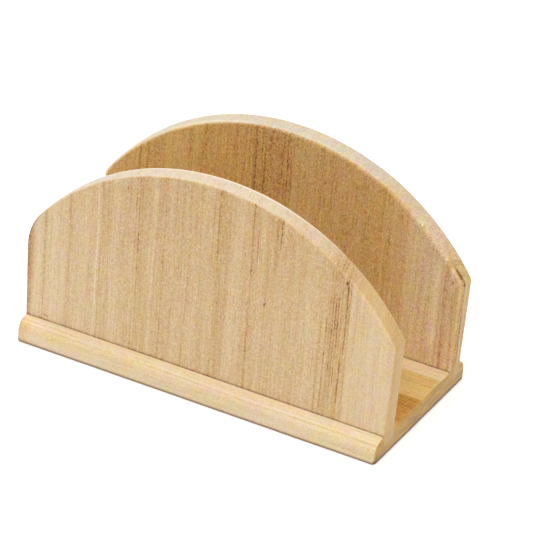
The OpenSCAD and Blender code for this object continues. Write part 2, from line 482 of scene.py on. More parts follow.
# %% A stave of a panel
def panel_stave(name, board, left, right):
    """The wood between two glue lines of the front or back board."""
    front_y, back_y = PANEL_FACES[board]
    rounds = shoulders[board]
    points, wear_and_highlight, columns = [], [], []
    for station in stations(left, right, rounds):
        x, z = edge_point(station, 0, left, right, rounds)
        taken = taken_off(x, z, board)
        column = []
        for inset, y, corner_paling in edge_section(front_y, back_y, arris_radii(x, z, board)):
            px, pz = edge_point(station, inset + taken, left, right, rounds)
            column.append(len(points))
            points.append((px, y, pz))
            wear_and_highlight.append(corner_paling)
        columns.append(column)
    faces = [
        (a[i], a[i + 1], b[i + 1], b[i])
        for a, b in zip(columns, columns[1:])
        for i in range(len(a) - 1)
    ]
    feet = []
    for x, column in ((left, columns[0]), (right, columns[-1])):
        if x is None:
            feet.append(column)
            continue
        foot = [len(points), len(points) + 1]
        points += [(x, front_y, FOOT_Z), (x, back_y, FOOT_Z)]
        wear_and_highlight += [0.0, 0.0]
        faces.append(column + foot[::-1])
        feet.append(foot)
    for side in (0, -1):
        tops = [column[side] for column in columns]
        faces.append(tops + [foot[side] for foot in reversed(feet) if foot[side] not in tops])
    faces.append(feet[0] + feet[1][::-1])
    return make_piece(name, points, faces, wear_and_highlight)


print("A panel's stave stands", BASE_T - FOOT_Z, "mm deep in its groove")

# %% [markdown]
# ## Staves of the base
# A stave of the base is one section pushed along its length: a rounded long edge, a ledge, a
# groove for the panel and flat glue faces. Every point of the section carries the way in
# which it gives when the ends are sanded: the floor of a groove doesn't give at all, because
# no sanding block reaches it.

# %% Section of a base stave
DOWN = Vector((0, -1))
UP = Vector((0, 0.8))
STILL = Vector((0, 0))
PANEL_MID_Y = sum(PANEL_FACES["back"]) / 2
GROOVE_HALF = (PANEL_FACES["back"][1] - PANEL_FACES["back"][0]) / 2 + GROOVE_GAP
# How much each part of the base's section is paled later, partly as wear and partly as a painted
# highlight on the rounded corners.
ROUND_WEAR, ARRIS_WEAR, LIP_WEAR = 0.6, 0.9, 0.3
ROUND_EDGE_STEPS, ARRIS_CORNER_STEPS = 12, 5
TOUCHING_MM = 0.001


def rounded(centre, r, from_angle, to_angle, steps, wear_and_highlight):
    """Points on a rounded corner, each with the way it gives. A small corner moves as one."""
    rows = []
    for s in shares(steps):
        angle = radians(from_angle + (to_angle - from_angle) * s)
        out = Vector((cos(angle), sin(angle)))
        give = Vector((-out.x * BASE_CORNER_SHARE, -out.y))
        if r < BASE_END_R:
            give = Vector((copysign(BASE_CORNER_SHARE, -centre[0]), UP.y))
        rows.append((Vector(centre) + out * r, give, wear_and_highlight))
    return rows


def long_edge(side, *angles):
    """The large rounding of a long upper edge of the base."""
    centre = (side * (HALF_W - EDGE_ROUND_R), BASE_T - EDGE_ROUND_R)
    return rounded(centre, EDGE_ROUND_R, *angles, ROUND_EDGE_STEPS, ROUND_WEAR)


def lower_corner(side, *angles):
    """The small sanded corner under a long edge of the base."""
    centre = (side * (HALF_W - BASE_ARRIS_R), BASE_ARRIS_R)
    return rounded(centre, BASE_ARRIS_R, *angles, ARRIS_CORNER_STEPS, ARRIS_WEAR)


def groove(side):
    """Points of a groove, from low to high y."""
    near = side * PANEL_MID_Y - GROOVE_HALF
    far = side * PANEL_MID_Y + GROOVE_HALF
    return [
        (Vector((near - LIP_EASE, BASE_T)), DOWN, LIP_WEAR),
        (Vector((near, BASE_T - LIP_EASE)), DOWN, LIP_WEAR),
        (Vector((near, FOOT_Z)), STILL, 0.0),
        (Vector((far, FOOT_Z)), STILL, 0.0),
        (Vector((far, BASE_T - LIP_EASE)), DOWN, LIP_WEAR),
        (Vector((far + LIP_EASE, BASE_T)), DOWN, LIP_WEAR),
    ]


def base_section(low_y, high_y):
    """A stave's section as rows of (point, way it gives, wear), going round it."""
    rows = []
    if low_y <= -HALF_W + TOUCHING_MM:
        rows += lower_corner(-1, 270, 180) + long_edge(-1, 180, 90) + groove(-1)
    else:
        rows += [(Vector((low_y, 0)), UP, 0.0), (Vector((low_y, BASE_T)), DOWN, 0.0)]
    if high_y >= HALF_W - TOUCHING_MM:
        rows += groove(1) + long_edge(1, 90, 0) + lower_corner(1, 0, -90)
    else:
        rows += [(Vector((high_y, BASE_T)), DOWN, 0.0), (Vector((high_y, 0)), UP, 0.0)]
    return rows


print("Points in the front stave's section:", len(base_section(-HALF_W, 0)))

# %% A stave of the base
BASE_STEP_MM = 6.0
END_STEPS = 6


def base_cuts():
    """Cuts across the base from end to end, as rows of (x, how far it is taken in, wear)."""
    end = []
    for s in shares(END_STEPS):
        bend = s * pi / 2
        x = HALF_L - BASE_END_R * (1 - sin(bend))
        end.append((x, BASE_END_R * (1 - cos(bend)), sin(2 * bend)))
    inner = HALF_L - BASE_END_R
    steps = round(2 * inner / BASE_STEP_MM)
    middle = [(-inner + 2 * inner * s, 0.0, 0.0) for s in shares(steps)[1:-1]]
    return [(-x, inset, end_wear_and_highlight) for x, inset, end_wear_and_highlight in reversed(end)] + middle + end


def base_stave(name, low_y, high_y):
    rows = base_section(low_y, high_y)
    cuts = base_cuts()
    points, wear_and_highlight = [], []
    for x, inset, end_wear_and_highlight in cuts:
        for point, give, corner_paling in rows:
            outer = abs(point.x) > HALF_W - EDGE_ROUND_R
            y, z = point + give * (inset + (taken_off(x, point.y, "base") if outer else 0.0))
            points.append((x, y, max(z, 0.0)))
            # The sanded ends are paled too, partly as wear and partly as a painted highlight on their
            # rounding.
            wear_and_highlight.append(end_wear_and_highlight if inset > BASE_END_R / 2 else max(corner_paling, end_wear_and_highlight))
    n = len(rows)
    faces = [
        (c * n + i, c * n + (i + 1) % n, (c + 1) * n + (i + 1) % n, (c + 1) * n + i)
        for c in range(len(cuts) - 1)
        for i in range(n)
    ]
    faces += [tuple(range(n)), tuple(range((len(cuts) - 1) * n, len(cuts) * n))]
    return make_piece(name, points, faces, wear_and_highlight)


print("A stave of the base is cut across", len(base_cuts()), "times")

# %% Make all the staves
pieces = {}


def stand_in_for(node, piece):
    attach(piece, "root")
    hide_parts(node)
    pieces[node] = piece


for node in BASE_STAVES:
    low, high = box_mm(node)
    stand_in_for(node, base_stave(node + "_wood", low.y, high.y))
for board, names in (("front", FRONT_STAVES), ("back", BACK_STAVES)):
    for i, node in enumerate(names):
        low, high = box_mm(node)
        left = None if i == 0 else low.x
        right = None if i == len(names) - 1 else high.x
        stand_in_for(node, panel_stave(node + "_wood", board, left, right))
print("Staves:", {name: len(piece.data.polygons) for name, piece in pieces.items()})

# %% [markdown]
# ## Wood, from a few node groups
# Wood looks like wood because every mark in it follows the fibres. So each material first
# turns the place on the board into three distances: across the growth rings, through the
# board and along the fibres. All the patterns are stretched along the fibres. As they are
# solid patterns, a dark ring on a face runs on over the sanded edge, as it does in a real
# board. A picture of wood would end there.

# %% Helpers for patterns
def plus(tree, value, factor, base):
    """value times factor, added to base."""
    return maths(tree, "MULTIPLY_ADD", value, factor, base)


def ramp(tree, value, from_low, from_high, to_low, to_high, kind="LINEAR"):
    """Turns one range of values into another and stops at both ends."""
    fields = (("From Min", from_low), ("From Max", from_high), ("To Min", to_low), ("To Max", to_high))
    made = add_node(tree, "ShaderNodeMapRange", (("Value", value),) + fields, interpolation_type=kind)
    return made.outputs["Result"]


NOISE_SPREAD = (0.28, 0.72)


def stretched_noise(tree, spot, sizes, detail=1.0, seed=0.0):
    """Noise from about -1 to 1 whose grains have the given sizes in mm across, through and along."""
    scaled = [maths(tree, "DIVIDE", value, size) for value, size in zip(spot, sizes)]
    place = add_node(tree, "ShaderNodeCombineXYZ", enumerate(scaled))
    fields = (("Vector", place.outputs[0]), ("W", seed), ("Scale", 1.0), ("Detail", detail))
    made = add_node(tree, "ShaderNodeTexNoise", fields, noise_dimensions="4D")
    return ramp(tree, made.outputs[0], *NOISE_SPREAD, -1.0, 1.0)


print("Most of a noise lies within", NOISE_SPREAD)

# %% Helpers for node groups
FLOAT, COLOUR = "NodeSocketFloat", "NodeSocketColor"


def new_group(name, inputs, outputs):
    """A shader node group with number inputs, and outputs of the given kinds."""
    group = bpy.data.node_groups.new(name, "ShaderNodeTree")
    for label, default in inputs.items():
        spaced = label.replace("_", " ")
        socket = group.interface.new_socket(spaced, in_out="INPUT", socket_type=FLOAT)
        socket.default_value = default
    for label, kind in outputs.items():
        group.interface.new_socket(label, in_out="OUTPUT", socket_type=kind)
    given = group.nodes.new("NodeGroupInput").outputs
    gives = group.nodes.new("NodeGroupOutput").inputs
    return group, given, gives


def use_group(tree, group, **inputs):
    made = add_node(tree, "ShaderNodeGroup", node_tree=group)
    for label, value in inputs.items():
        feed(tree, made.inputs[label.replace("_", " ")], value)
    return made.outputs


PLACE = {"Ring": 0.0, "Through": 0.0, "Along": 0.0, "Seed": 0.0}
print("Every grain group is read at", list(PLACE))

# %% [markdown]
# ### How the growth rings lie
# This group turns a place on the board into a ring distance. The rings lean through the
# thickness, by the slope with which the log was cut, and wander slowly along the board.
# Everything that is listed later is placed on this ring distance, so it bends with the wood. The group
# also gives a rag value, with which lines are broken up along the fibres.

# %% Group: lie of the rings
SLOW_BEND_MM = (60, 40, 75)
QUICK_BEND_MM = (14, 14, 22)
QUICK_BEND_SHARE = 0.16
RAG_MM = (1.3, 5, 8)
lie_group, given, gives = new_group(
    "Lie Of The Rings",
    {"Across": 0.0, "Through": 0.0, "Along": 0.0, "Lean": 0.3, "Wander": 0.6, "Seed": 0.0},
    {"Ring": FLOAT, "Rag": FLOAT},
)
spot = (given["Across"], given["Through"], given["Along"])
slow = stretched_noise(lie_group, spot, SLOW_BEND_MM, seed=given["Seed"])
quick = stretched_noise(lie_group, spot, QUICK_BEND_MM, seed=given["Seed"])
bend = plus(lie_group, quick, QUICK_BEND_SHARE, slow)
leaning = plus(lie_group, given["Through"], given["Lean"], given["Across"])
ring = plus(lie_group, bend, given["Wander"], leaning)
feed(lie_group, gives["Ring"], ring)
spot = (ring, given["Through"], given["Along"])
rag = stretched_noise(lie_group, spot, RAG_MM, detail=2.0, seed=given["Seed"])
feed(lie_group, gives["Rag"], rag)
print(lie_group.name, "has", len(lie_group.nodes), "nodes")

# %% [markdown]
# ### Early and late wood
# In one year a tree lays down soft pale wood and then a thin hard dark line. In a board cut
# near the middle of the log these show as bands along the fibres, some wide and faint, some
# narrow. Three noises of different width give them, each very long along the fibres.

# %% Group: growth bands
BANDS = {
    "wide": ((5.5, 30, 320), 0.45),
    "middle": ((2.1, 30, 110), 0.55),
    "narrow": ((0.9, 12, 45), 0.5),
}
band_group, given, gives = new_group("Growth Bands", PLACE, {"Bands": FLOAT})
spot = (given["Ring"], given["Through"], given["Along"])
total = 0.0
for sizes, share in BANDS.values():
    bands = stretched_noise(band_group, spot, sizes, seed=given["Seed"])
    total = plus(band_group, bands, share, total)
feed(band_group, gives["Bands"], total)
print(band_group.name, "has", len(band_group.nodes), "nodes")

# %% [markdown]
# ### Fibres and pores
# Close up, this wood is a fine pepper of cut fibres, over long pale and dark threads that run
# with the grain, and its pores are open grooves a few millimetres long. The pepper is noise
# with grains half a millimetre wide, hardly longer than wide, because sanding tears the soft
# fibres off in short bits. The pores are stretched noise, of which only the peaks are kept,
# and they come in swarms, as a slower noise says.

# %% Group: fibres and pores
PEPPER_MM = (0.52, 0.6, 0.75)
THREADS_MM = (0.62, 0.9, 24.0)
THREADS_SHARE = 0.42
PITS_MM = (0.5, 0.5, 2.4)
SWARM_MM = (4.0, 9.0, 30.0)
SWARM_SHARE = 0.25
OPEN_PITS = (0.45, 0.95)
fibre_group, given, gives = new_group("Fibres And Pores", PLACE, {"Fibres": FLOAT, "Pores": FLOAT})
spot = (given["Ring"], given["Through"], given["Along"])
pepper = stretched_noise(fibre_group, spot, PEPPER_MM, seed=given["Seed"])
threads = stretched_noise(fibre_group, spot, THREADS_MM, seed=given["Seed"])
feed(fibre_group, gives["Fibres"], plus(fibre_group, threads, THREADS_SHARE, pepper))
pits = stretched_noise(fibre_group, spot, PITS_MM, detail=0.0, seed=given["Seed"])
swarm = stretched_noise(fibre_group, spot, SWARM_MM, seed=given["Seed"])
pits = plus(fibre_group, swarm, SWARM_SHARE, pits)
feed(fibre_group, gives["Pores"], ramp(fibre_group, pits, *OPEN_PITS, 0.0, 1.0, "SMOOTHSTEP"))
print(fibre_group.name, "has", len(fibre_group.nodes), "nodes")

# %% [markdown]
# ### A streak at a chosen ring
# The marks that one would know this very board by are listed one by one: a thin dark late-wood line, a
# pale band, the group of dark lines near the right end of the front. One streak has a middle, a half
# width and a depth, and may start and stop along the fibres. The rag value breaks it up, so that it
# doesn't look ruled.

# %% Group: streak
STREAK_FADE = 9.0
EVER_LOW, EVER_HIGH = -300.0, 300.0
streak_group, given, gives = new_group(
    "Streak",
    {"Ring": 0.0, "Along": 0.0, "Rag": 0.0, "Middle": 0.0, "Half_Width": 1.0, "Depth": 0.3,
     "Broken": 0.5, "From": EVER_LOW, "To": EVER_HIGH},
    {"Tone": FLOAT},
)
away = maths(streak_group, "SUBTRACT", given["Ring"], given["Middle"])
away = maths(streak_group, "ABSOLUTE", away)
away = maths(streak_group, "DIVIDE", away, given["Half Width"])
mask = ramp(streak_group, away, 1.0, 0.0, 0.0, 1.0, "SMOOTHSTEP")
strength = plus(streak_group, given["Rag"], given["Broken"], 1.0)
strength = maths(streak_group, "MAXIMUM", strength, 0.0)
for end, inwards in (("From", 1.0), ("To", -1.0)):
    past = maths(streak_group, "SUBTRACT", given["Along"], given[end])
    past = maths(streak_group, "MULTIPLY", past, inwards)
    fade = ramp(streak_group, past, 0.0, STREAK_FADE, 0.0, 1.0, "SMOOTHSTEP")
    strength = maths(streak_group, "MULTIPLY", strength, fade)
deep = maths(streak_group, "MULTIPLY", mask, given["Depth"])
feed(streak_group, gives["Tone"], maths(streak_group, "MULTIPLY", deep, strength))
print(streak_group.name, "has", len(streak_group.nodes), "nodes")

# %% Lines and bands, as rows of values for the streak group
def line(at, depth, half_width=0.5, low=EVER_LOW, high=EVER_HIGH, broken=0.8):
    """A thin dark or pale line, at a place across the board."""
    return {
        "Middle": at, "Half_Width": half_width, "Depth": depth,
        "Broken": broken, "From": low, "To": high,
    }


def band(at, half_width, depth, low=EVER_LOW, high=EVER_HIGH, broken=0.25):
    """A wide soft band."""
    return line(at, depth, half_width, low, high, broken)


print("A thin line is", 2 * line(0, 0)["Half_Width"], "mm wide")

# %% [markdown]
# ### Small marks
# A thumbnail dent, a scratch or a speck of bark is one small slanted ellipse of darker wood.
# The offset from its middle is turned to lie along the ellipse and divided by its two half
# sizes, so that 1 is the rim whatever the ellipse's shape. A texture of random specks would
# be less work, but these few marks sit where they do on the real boards.

# %% Group: mark
MARK_CORE = 0.3
mark_group, given, gives = new_group(
    "Mark",
    {"Across": 0.0, "Along": 0.0, "At_Across": 0.0, "At_Along": 0.0, "Turn": 0.0,
     "Half_Length": 1.5, "Half_Width": 0.4, "Depth": 0.3},
    {"Tone": FLOAT},
)
offsets = [
    maths(mark_group, "SUBTRACT", given[way], given["At " + way]) for way in ("Across", "Along")
]
offset = add_node(mark_group, "ShaderNodeCombineXYZ", enumerate(offsets)).outputs[0]
back = maths(mark_group, "MULTIPLY", given["Turn"], -1.0)
turned = add_node(
    mark_group, "ShaderNodeVectorRotate", (("Vector", offset), ("Angle", back)), rotation_type="Z_AXIS"
).outputs[0]
parts = add_node(mark_group, "ShaderNodeSeparateXYZ", ((0, turned),)).outputs
lengthways = maths(mark_group, "DIVIDE", parts[0], given["Half Length"])
sideways = maths(mark_group, "DIVIDE", parts[1], given["Half Width"])
squares = plus(mark_group, lengthways, lengthways, maths(mark_group, "MULTIPLY", sideways, sideways))
mask = ramp(mark_group, maths(mark_group, "SQRT", squares), 1.0, MARK_CORE, 0.0, 1.0)
feed(mark_group, gives["Tone"], maths(mark_group, "MULTIPLY", mask, given["Depth"]))


def mark(across, along, turn, half_length, half_width, depth):
    return {
        "At_Across": across, "At_Along": along, "Turn": radians(turn),
        "Half_Length": half_length, "Half_Width": half_width, "Depth": depth,
    }


print(mark_group.name, "has", len(mark_group.nodes), "nodes")

# %% [markdown]
# ### Colours of the wood
# One scale of colours serves every stave: 0 is the palest sapwood and 1 the darkest late
# wood. A darker stave is the same wood, read further up the scale, which keeps the boards in
# one family, and warmth adds the orange of wood from nearer the heart of the tree. Patches of
# a few millimetres then add the faint pink, olive and straw tones that bare wood has.

# %% Group: wood colour
def paint(red, green, blue):
    """A colour as it looks on a screen, from 0 to 255, as the values that a shader needs."""
    shown = [c / 255 for c in (red, green, blue)]
    return tuple(c / 12.92 if c <= 0.04045 else ((c + 0.055) / 1.055) ** 2.4 for c in shown) + (1.0,)


def mixed(tree, kind, share, first, second):
    """Two colours mixed. They are the sockets 6 and 7 of a Mix node, and come out of socket 2."""
    inputs = ((0, share), (6, first), (7, second))
    return add_node(tree, "ShaderNodeMix", inputs, data_type="RGBA", blend_type=kind).outputs[2]


WOOD_SCALE = [
    (0.00, paint(240, 222, 192)),
    (0.20, paint(229, 206, 170)),
    (0.40, paint(213, 184, 143)),
    (0.60, paint(200, 162, 115)),
    (0.80, paint(168, 123, 74)),
    (1.00, paint(120, 78, 40)),
]
HEART_ORANGE = (1.0, 0.84, 0.22, 1.0)

colour_group, given, gives = new_group("Wood Colour", {"Tone": 0.4, "Warmth": 0.0}, {"Colour": COLOUR})
scale = add_node(colour_group, "ShaderNodeValToRGB", (("Fac", given["Tone"]),))
stops = scale.color_ramp.elements
stops[1].position = WOOD_SCALE[-1][0]
for share, shown in WOOD_SCALE[1:-1]:
    stops.new(share)
for stop, (share, shown) in zip(stops, WOOD_SCALE):
    stop.color = shown
warmed = mixed(colour_group, "MULTIPLY", given["Warmth"], scale.outputs["Color"], HEART_ORANGE)
feed(colour_group, gives["Colour"], warmed)
print(colour_group.name, "has the colours", [round(stop.position, 2) for stop in stops])

# %% Group: pink and straw patches
PINK, OLIVE = (1.0, 0.95, 0.985, 1.0), (0.955, 1.0, 0.97, 1.0)
STRAW, ASH = (1.01, 1.0, 0.86, 1.0), (0.99, 0.985, 1.06, 1.0)
GOLD = (1.0, 0.985, 0.88, 1.0)
# Each row has its two tints, the size of its patches in mm and its place in the noise.
PATCHES = (
    ((PINK, OLIVE), (4.4, 6, 7), 40.0),
    ((STRAW, ASH), (4.4, 6, 4.2), 80.0),
    ((GOLD, PINK), (2.6, 8, 45), 120.0),
)
FULL_TINT_AT = 0.9

patch_group, given, gives = new_group("Patches", PLACE | {"Blush": 1.0}, {"Tint": COLOUR})
spot = (given["Ring"], given["Through"], given["Along"])
tinted = (1.0, 1.0, 1.0, 1.0)
for tints, sizes, row in PATCHES:
    seed = maths(patch_group, "ADD", given["Seed"], row)
    patch = stretched_noise(patch_group, spot, sizes, seed=seed)
    for tint, full_at in zip(tints, (FULL_TINT_AT, -FULL_TINT_AT)):
        share = ramp(patch_group, patch, 0.0, full_at, 0.0, 1.0)
        share = maths(patch_group, "MULTIPLY", share, given["Blush"])
        tinted = mixed(patch_group, "MULTIPLY", share, tinted, tint)
feed(patch_group, gives["Tint"], tinted)
print(patch_group.name, "has", len(patch_group.nodes), "nodes")

# %% [markdown]
# ## A material for each stave
# Each stave was cut from its own piece of wood, so each gets its own material from the same groups, with
# its own darkness, lean of the rings and streaks. One material for all of them would be shorter, but
# then the grain would run on across the glue lines, which it never does. The values that all staves
# share are gathered here: how strongly each pattern darkens the wood, how strongly painted shade and
# painted highlights are laid on, and the colours of the pale corners, which are partly wear and partly a
# painted highlight, of a painted highlight, and of dirt and painted shade.

# %% Values that all the staves share
# Some of these are strengths of painted light: the crease, the foot of a panel's narrow sides, the
# lowest edge of the base and the grooves get painted shade, the rear corner of the front arch a painted
# highlight, and the corners are paled partly as wear and partly as a painted highlight. The seam is the
# dark of the glue joints.
LOOK = {
    "bands": 0.06, "fibres": 0.17, "pores": 0.07, "late_wood_orange": 0.66,
    "seam": 0.13, "crease_shade": 0.5, "end_stain": 0.12, "foot": 0.85, "groove": 0.42,
    "wear_and_highlight": 0.05, "arch_wear_and_highlight": 0.15, "rear_highlight": 0.6,
}
# The pale colour of the corners: partly wear, partly a painted highlight.
PALE_WEAR_AND_HIGHLIGHT = paint(243, 228, 203)
# A near-white painted highlight, on the rear corner of the front arch and on the back panel's left
# corners.
HIGHLIGHT = paint(253, 240, 217)
# The colour of the dirt in the joints, and of the painted shade in the crease, in the grooves, under the
# base and on the front panel's left corner.
DIRT_AND_SHADE = paint(142, 110, 60)


def spaces(tree, grain):
    """Place in mm and surface direction, both as (across, through, along) the grain."""
    coordinates = add_node(tree, "ShaderNodeTexCoord").outputs
    inputs = ((0, coordinates["Object"]), (3, 1 / MM))
    in_mm = add_node(tree, "ShaderNodeVectorMath", inputs, operation="SCALE").outputs[0]
    axes = add_node(tree, "ShaderNodeSeparateXYZ", ((0, in_mm),)).outputs
    facing = add_node(tree, "ShaderNodeSeparateXYZ", ((0, coordinates["Normal"]),)).outputs
    return [axes[letter] for letter in grain], [facing[letter] for letter in grain]


print("The staves share", len(LOOK), "values")

# %% [markdown]
# ### Streaks, lines and marks
# A stave's own lines are placed as they are seen on its front face, so they are first shifted
# to where their ring lies in the middle of the board. The right side of a panel shows rings
# of its own, which lie across its thickness, so a stave may have a second list for that side.
# All of them add up to one value, late wood, which later makes the wood darker and warmer.

# %% Late wood of a stave
SIDE_WANDER = 1.8
SIDE_FACING = (0.5, 0.8)


def tone_sum(tree, group, rows, **place):
    """What one group gives at a place for each row of values, added up."""
    total = 0.0
    for row in rows:
        total = maths(tree, "ADD", total, use_group(tree, group, **place, **row)["Tone"])
    return total


def late_wood_of(tree, spot, facing, rings, stave):
    across, through, along = spot
    seen = {"Along": along, "Rag": rings["Rag"]}
    shift = stave["lean"] * stave["face"]
    streaks = [streak | {"Middle": streak["Middle"] + shift} for streak in stave["streaks"]]
    total = tone_sum(tree, streak_group, streaks, Ring=rings["Ring"], **seen)
    if "side_streaks" in stave:
        wander = maths(tree, "SUBTRACT", rings["Ring"], across)
        straight = maths(tree, "MULTIPLY", through, 1 - SIDE_WANDER * stave["lean"])
        wavy = plus(tree, wander, SIDE_WANDER, straight)
        on_side = ramp(tree, facing[0], *SIDE_FACING, 0.0, 1.0)
        side_tone = tone_sum(tree, streak_group, stave["side_streaks"], Ring=wavy, **seen)
        total = plus(tree, side_tone, on_side, total)
    for way, marks in ((across, "marks"), (through, "side_marks")):
        dents = tone_sum(tree, mark_group, stave.get(marks, []), Across=way, Along=along)
        total = maths(tree, "ADD", total, dents)
    return total


print("The right side bends its rings", SIDE_WANDER, "times as much")

# %% [markdown]
# ### Parts of a stave that differ
# Some parts of a stave are darker or warmer as a whole: the cut sides of the panel, or one end of it.
# One zone across the rings is painted light and shade instead: it darkens the floor of the base where
# the front panel shades it, and pales the back panel towards its right end, where more light falls. Each
# such zone is a soft mask with two numbers, how much darker and how much warmer it makes the wood.

# %% Zones of a stave
ZONE_EDGES = {"painted_light_and_shade": "SMOOTHSTEP", "side": "LINEAR", "tip": "SMOOTHSTEP"}


def stave_zones(tree, along, facing, rings, stave):
    """Rows of (mask, depth, warmth)."""
    measures = {"painted_light_and_shade": rings["Ring"], "tip": along}
    if "side" in stave:
        measures["side"] = maths(tree, "ABSOLUTE", facing[0])
    zones = []
    for zone, edge in ZONE_EDGES.items():
        if zone in stave:
            start, full, depth, orange = stave[zone]
            mask = ramp(tree, measures[zone], start, full, 0.0, 1.0, edge)
            zones.append((mask, depth, orange))
    return zones


print("Zones that a stave may have:", list(ZONE_EDGES))

# %% [markdown]
# ### Darkness and warmth
# The darkness of the wood is a sum: the stave's own tone, its growth bands, its late wood, a painted
# shade that darkens it towards the crown, the fibres and the pores. Dark wood is coarser than pale wood,
# so its fibres show more. Late wood also turns towards orange, and each zone of a stave adds its own
# darkness and warmth.

# %% Tone and warmth of a stave
TONES_OF_COARSENESS = (0.25, 0.6)
COARSENESS = (0.85, 1.4)


def tone_and_warmth(tree, spot, facing, rings, fine, bands, stave):
    """Tone, warmth and coarseness of the wood."""
    along = spot[2]
    late_wood = late_wood_of(tree, spot, facing, rings, stave)
    tone = plus(tree, bands, LOOK["bands"] * stave.get("banding", 1.0), stave["tone"])
    tone = maths(tree, "ADD", tone, late_wood)
    # Painted shade: darker towards the crown.
    if "shade_towards_crown" in stave:
        half = stave["shade_towards_crown"] / 2
        tone = maths(tree, "ADD", tone, ramp(tree, along, FOOT_Z, CROWN_Z, -half, half))
    coarse = ramp(tree, tone, *TONES_OF_COARSENESS, *COARSENESS)
    coarse = maths(tree, "MULTIPLY", coarse, stave.get("coarse", 1.0))
    for pattern, strength in (("Fibres", LOOK["fibres"]), ("Pores", LOOK["pores"])):
        tone = plus(tree, maths(tree, "MULTIPLY", fine[pattern], coarse), strength, tone)
    warmth = plus(tree, late_wood, LOOK["late_wood_orange"], stave.get("warmth", 0.0))
    for mask, depth, orange in stave_zones(tree, along, facing, rings, stave):
        tone = plus(tree, mask, depth, tone)
        warmth = plus(tree, mask, orange, warmth)
    return tone, maths(tree, "MAXIMUM", warmth, 0.0), coarse


print("Fibres show", COARSENESS, "times as much in pale and in dark wood")

# %% [markdown]
# ### End grain
# Where a surface cuts across the fibres it shows end grain: fine sanding has left it chalky and pale on
# the arches, and the sawn ends of the base are darker. A tilt to the left makes the left half of an arch
# count as cut more squarely than the right half, so that it is paler: a painted highlight where the
# light from the left falls. How squarely is read from the surface direction, so no edge has to be marked
# by hand.

# %% End grain
PANEL_END = {"share": 0.95, "stripes": (1.6, 7.0, 12.0), "contrast": 0.08, "speckle": 0.15}
# On the panels, the tilt pales the left half of each arch as a painted highlight.
END_GRAIN = {
    "front": PANEL_END | {
        "colour": paint(216, 198, 174), "highlight_tilt": radians(17), "from": 0.57, "to": 0.92,
    },
    "back": PANEL_END | {
        "colour": paint(209, 198, 174), "highlight_tilt": radians(9), "from": 0.5, "to": 0.92, "share": 0.9,
    },
    "base": {
        "colour": paint(188, 142, 50), "highlight_tilt": 0.0, "from": 0.5, "to": 0.9, "share": 0.95,
        "stripes": (12.0, 1.8, 30.0), "contrast": 0.32, "speckle": 0.12,
    },
}


def grey(tree, value):
    return add_node(tree, "ShaderNodeCombineXYZ", enumerate((value, value, value))).outputs[0]


def cut_squarely(tree, facing, cut):
    """How squarely a surface cuts the fibres, as a share."""
    upright = maths(tree, "MULTIPLY", maths(tree, "ABSOLUTE", facing[2]), cos(cut["highlight_tilt"]))
    squareness = plus(tree, facing[0], -sin(cut["highlight_tilt"]), upright)
    return ramp(tree, squareness, cut["from"], cut["to"], 0.0, 1.0, "SMOOTHSTEP")


def chalk(tree, spot, rings, fine, stave):
    """The colour of sanded end grain."""
    cut = stave["end_grain"]
    ring_spot = (rings["Ring"], spot[1], spot[2])
    stripes = stretched_noise(tree, ring_spot, cut["stripes"], detail=2.0, seed=stave["seed"])
    striped = plus(tree, stripes, cut["contrast"], 1.0)
    pale = plus(tree, fine["Fibres"], -cut["speckle"], striped)
    return mixed(tree, "MULTIPLY", 1.0, cut["colour"], grey(tree, pale))


print("End grain of:", list(END_GRAIN))

# %% [markdown]
# ### Sanded corners, painted highlights and painted shade
# Handling and sanding leave a corner paler than the faces beside it, and the same paling stands in for a
# painted highlight on the rounded corners. The mesh brings its own value for this, which is 1 on the
# corners, so the paleness follows the real shape. A bevel node could find the corners too, but it costs
# time in every render. The front panel's arch also has a painted highlight along its rear corner. The
# left corner of the front panel's left stave is darkened with painted shade, and the left corners of the
# back panel's left stave get a painted highlight.

# %% Sanded corners
REAR_HIGHLIGHT_REACH = (-2.0, -1.2)
RIM_TURN = (-0.05, -0.32)


def wear_and_highlight_on_corners(tree, colour, spot, facing, square, stave):
    across, through = spot[:2]
    # The corners are paled partly as wear and partly as a painted highlight, more on the end grain.
    corner_paling = add_node(tree, "ShaderNodeAttribute", attribute_name="wear_and_highlight").outputs["Fac"]
    strength = plus(tree, square, stave.get("arch_wear_and_highlight", 0.0), LOOK["wear_and_highlight"])
    colour = mixed(tree, "MIX", maths(tree, "MULTIPLY", corner_paling, strength), colour, PALE_WEAR_AND_HIGHLIGHT)
    # A painted highlight along the rear corner of the arch's end grain.
    if "rear_highlight" in stave:
        start, full = [stave["rear_highlight"] + reach for reach in REAR_HIGHLIGHT_REACH]
        near_rear = ramp(tree, through, start, full, 0.0, LOOK["rear_highlight"])
        colour = mixed(tree, "MIX", maths(tree, "MULTIPLY", near_rear, square), colour, HIGHLIGHT)
    # A left rim: painted shade on the front panel's left stave, a painted highlight on the back panel's
    # left stave.
    if "rim" in stave:
        rim = stave["rim"]
        turned = ramp(tree, facing[0], *RIM_TURN, 0.0, rim["share"])
        reach = ramp(tree, across, *rim["reach"], 0.0, 1.0)
        share = maths(tree, "MULTIPLY", maths(tree, "MULTIPLY", corner_paling, turned), reach)
        colour = mixed(tree, rim["kind"], share, colour, rim["colour"])
    return colour


print("The lip starts", -REAR_HIGHLIGHT_REACH[0], "mm before the rear face")

# %% [markdown]
# ### Dirt and painted shade
# Dust and glue settle in the hairline of each joint. The crease where a panel meets the base, the foot
# of a panel's narrow sides, the inside of the grooves and the lowest edge of the base are darkened with
# painted shade. Each of these is a distance from a place that is known, faded out over a millimetre or
# so, and only on the surfaces that face the right way.

